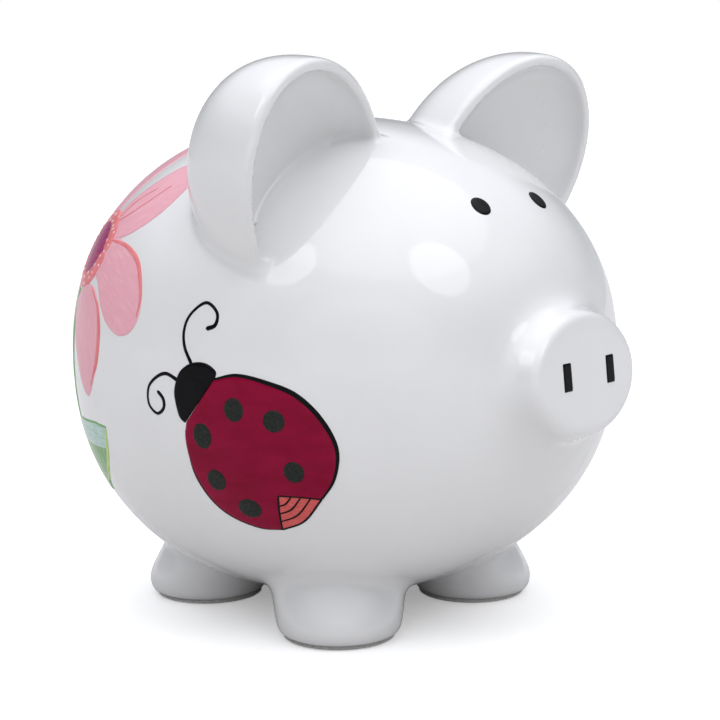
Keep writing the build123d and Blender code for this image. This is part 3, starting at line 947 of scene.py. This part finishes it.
# Painted reflection: a pale mint coat along the top of the grass patch stands for light reflected there.
GRASS_REFLECTION = [
    (36.4, 5.7), (29, 7.2), (12, 7.4), (-8, 5.4), (-30, 9.4), (-31, 3), (-8, -3), (12, -1.5), (33, -2.5),
]
# Painted highlight: a lime stroke along the right edge of the grass patch, where light catches it.
LIT_EDGE = [(36.6, 5.4), (32.1, -4.3), (26.6, -10), (19.4, -16.2)]
grass += coated(REFLECTION_MINT, patch("grass_painted_reflection", GRASS_PLACE, GRASS_REFLECTION, thick=0.12, base=0.22, step=1.2, soft=1.6))
grass += coated(HIGHLIGHT_LIME, stroke("grass_painted_highlight", GRASS_PLACE, LIT_EDGE, [0.8, 1.4, 0.8], base=0.3, thick=0.15))
piece(joined("grass_paint", grass), None, "green_enamel", "grass_patch")


# ---- Stage: floor, light and camera ----
def floor_paper():
    """White paper, lit to plain white where it is seen, and a little greyer in what it reflects."""
    n = Nodes("floor_paper", base_color=(0.93, 0.928, 0.92, 1), roughness=0.8, emission_strength=0.3)
    n.shader.inputs["Emission Color"].default_value = (1, 1, 1, 1)
    bounce = n.add("BsdfPrincipled")
    bounce.inputs["Base Color"].default_value = (0.69, 0.68, 0.67, 1)
    bounce.inputs["Roughness"].default_value = 0.8
    path, mix = n.add("LightPath"), n.add("MixShader")
    n.link(path, "Is Camera Ray", mix, "Fac")
    n.tree.links.new(bounce.outputs[0], mix.inputs[1])
    n.tree.links.new(n.shader.outputs[0], mix.inputs[2])
    n.link(mix, "Shader", n.tree.nodes["Material Output"], "Surface")
    return n.material


FLOOR = 9000  # half the paper's width and depth
floor = mesh_object(
    "floor", [(-FLOOR, -FLOOR, 0), (FLOOR, -FLOOR, 0), (FLOOR, FLOOR, 0), (-FLOOR, FLOOR, 0)], [(0, 1, 2, 3)]
)
floor.data.materials.append(floor_paper())

# A studio tent: bright overhead, dim just above the floor, plain white where the camera sees it.
world = bpy.data.worlds.new("studio")
bpy.context.scene.world = world
world.use_nodes = True
tent = world.node_tree
way = tent.nodes.new("ShaderNodeTexCoord")
split = tent.nodes.new("ShaderNodeSeparateXYZ")
fade = tent.nodes.new("ShaderNodeValToRGB")
fade.color_ramp.interpolation = "EASE"
TENT_LEVELS = ((0.0, 0.52), (0.2, 0.16), (0.34, 0.2), (0.62, 0.85), (1.0, 1.5))
TENT_TINT = (0.96, 0.98, 1.045)
while len(fade.color_ramp.elements) < len(TENT_LEVELS):
    fade.color_ramp.elements.new(0.5)
for element, (where, level) in zip(fade.color_ramp.elements, TENT_LEVELS):
    element.position = where
    element.color = (*(level * part for part in TENT_TINT), 1)
sky = tent.nodes["Background"]
seen = tent.nodes.new("ShaderNodeBackground")
seen.inputs["Color"].default_value = (1, 1, 1, 1)
ray = tent.nodes.new("ShaderNodeLightPath")
mixed = tent.nodes.new("ShaderNodeMixShader")
tent.links.new(way.outputs["Generated"], split.inputs["Vector"])
tent.links.new(split.outputs["Z"], fade.inputs["Fac"])
tent.links.new(fade.outputs["Color"], sky.inputs["Color"])
tent.links.new(ray.outputs["Is Camera Ray"], mixed.inputs["Fac"])
tent.links.new(sky.outputs["Background"], mixed.inputs[1])
tent.links.new(seen.outputs["Background"], mixed.inputs[2])
tent.links.new(mixed.outputs["Shader"], tent.nodes["World Output"].inputs["Surface"])


def softbox(name, at, size, power):
    """An oval light that points at the middle of the bank."""
    data = bpy.data.lights.new(name, "AREA")
    data.shape = "ELLIPSE"
    data.size, data.size_y = size
    data.energy = power
    lamp = bpy.data.objects.new(name, data)
    bpy.context.scene.collection.objects.link(lamp)
    aim = Vector(BODY * MM) - Vector(at)
    lamp.matrix_world = Matrix.Translation(at) @ aim.to_track_quat("-Z", "Y").to_matrix().to_4x4()


softbox("window_left", (-1.1, 0.02, 1.3), (0.62, 0.72), 1.8)
softbox("window_right", (0.0, -1.13, 1.2), (0.7, 0.8), 2.0)
softbox("low_fill", (-1.5, -1.3, 0.55), (2.6, 1.5), 3.9)
sun = bpy.data.objects.new("overhead", bpy.data.lights.new("overhead", "SUN"))
sun.data.energy = 0.8
sun.data.angle = radians(80)
sun.data.color = (1.0, 0.995, 0.985)
sun.matrix_world = Matrix.Rotation(radians(8), 4, "X")
bpy.context.scene.collection.objects.link(sun)

# The camera stands where the photograph was taken from, in metres from the middle of the body.
AZIMUTH, ELEVATION, ROLL = radians(-49.5), radians(8.78), radians(-0.53)
DISTANCE, ASIDE, BELOW, LENS = 0.76569, 0.01097, 0.00541, 100.28
back = Vector((sin(AZIMUTH) * cos(ELEVATION), -cos(AZIMUTH) * cos(ELEVATION), sin(ELEVATION)))
level = Vector((cos(AZIMUTH), sin(AZIMUTH), 0))
rise = back.cross(level)
right_way = level * cos(ROLL) + rise * sin(ROLL)
up_way = rise * cos(ROLL) - level * sin(ROLL)
camera = bpy.data.objects.new("camera", bpy.data.cameras.new("camera"))
bpy.context.scene.collection.objects.link(camera)
spot = Vector(BODY * MM) + back * DISTANCE + right_way * ASIDE - up_way * BELOW
turn = Matrix((right_way, up_way, back)).transposed().to_4x4()
camera.matrix_world = Matrix.Translation(spot) @ turn
camera.data.lens = LENS
camera.data.sensor_width = 36.0
camera.data.clip_start = 0.02
bpy.context.scene.camera = camera
bpy.context.scene.view_settings.view_transform = "Standard"
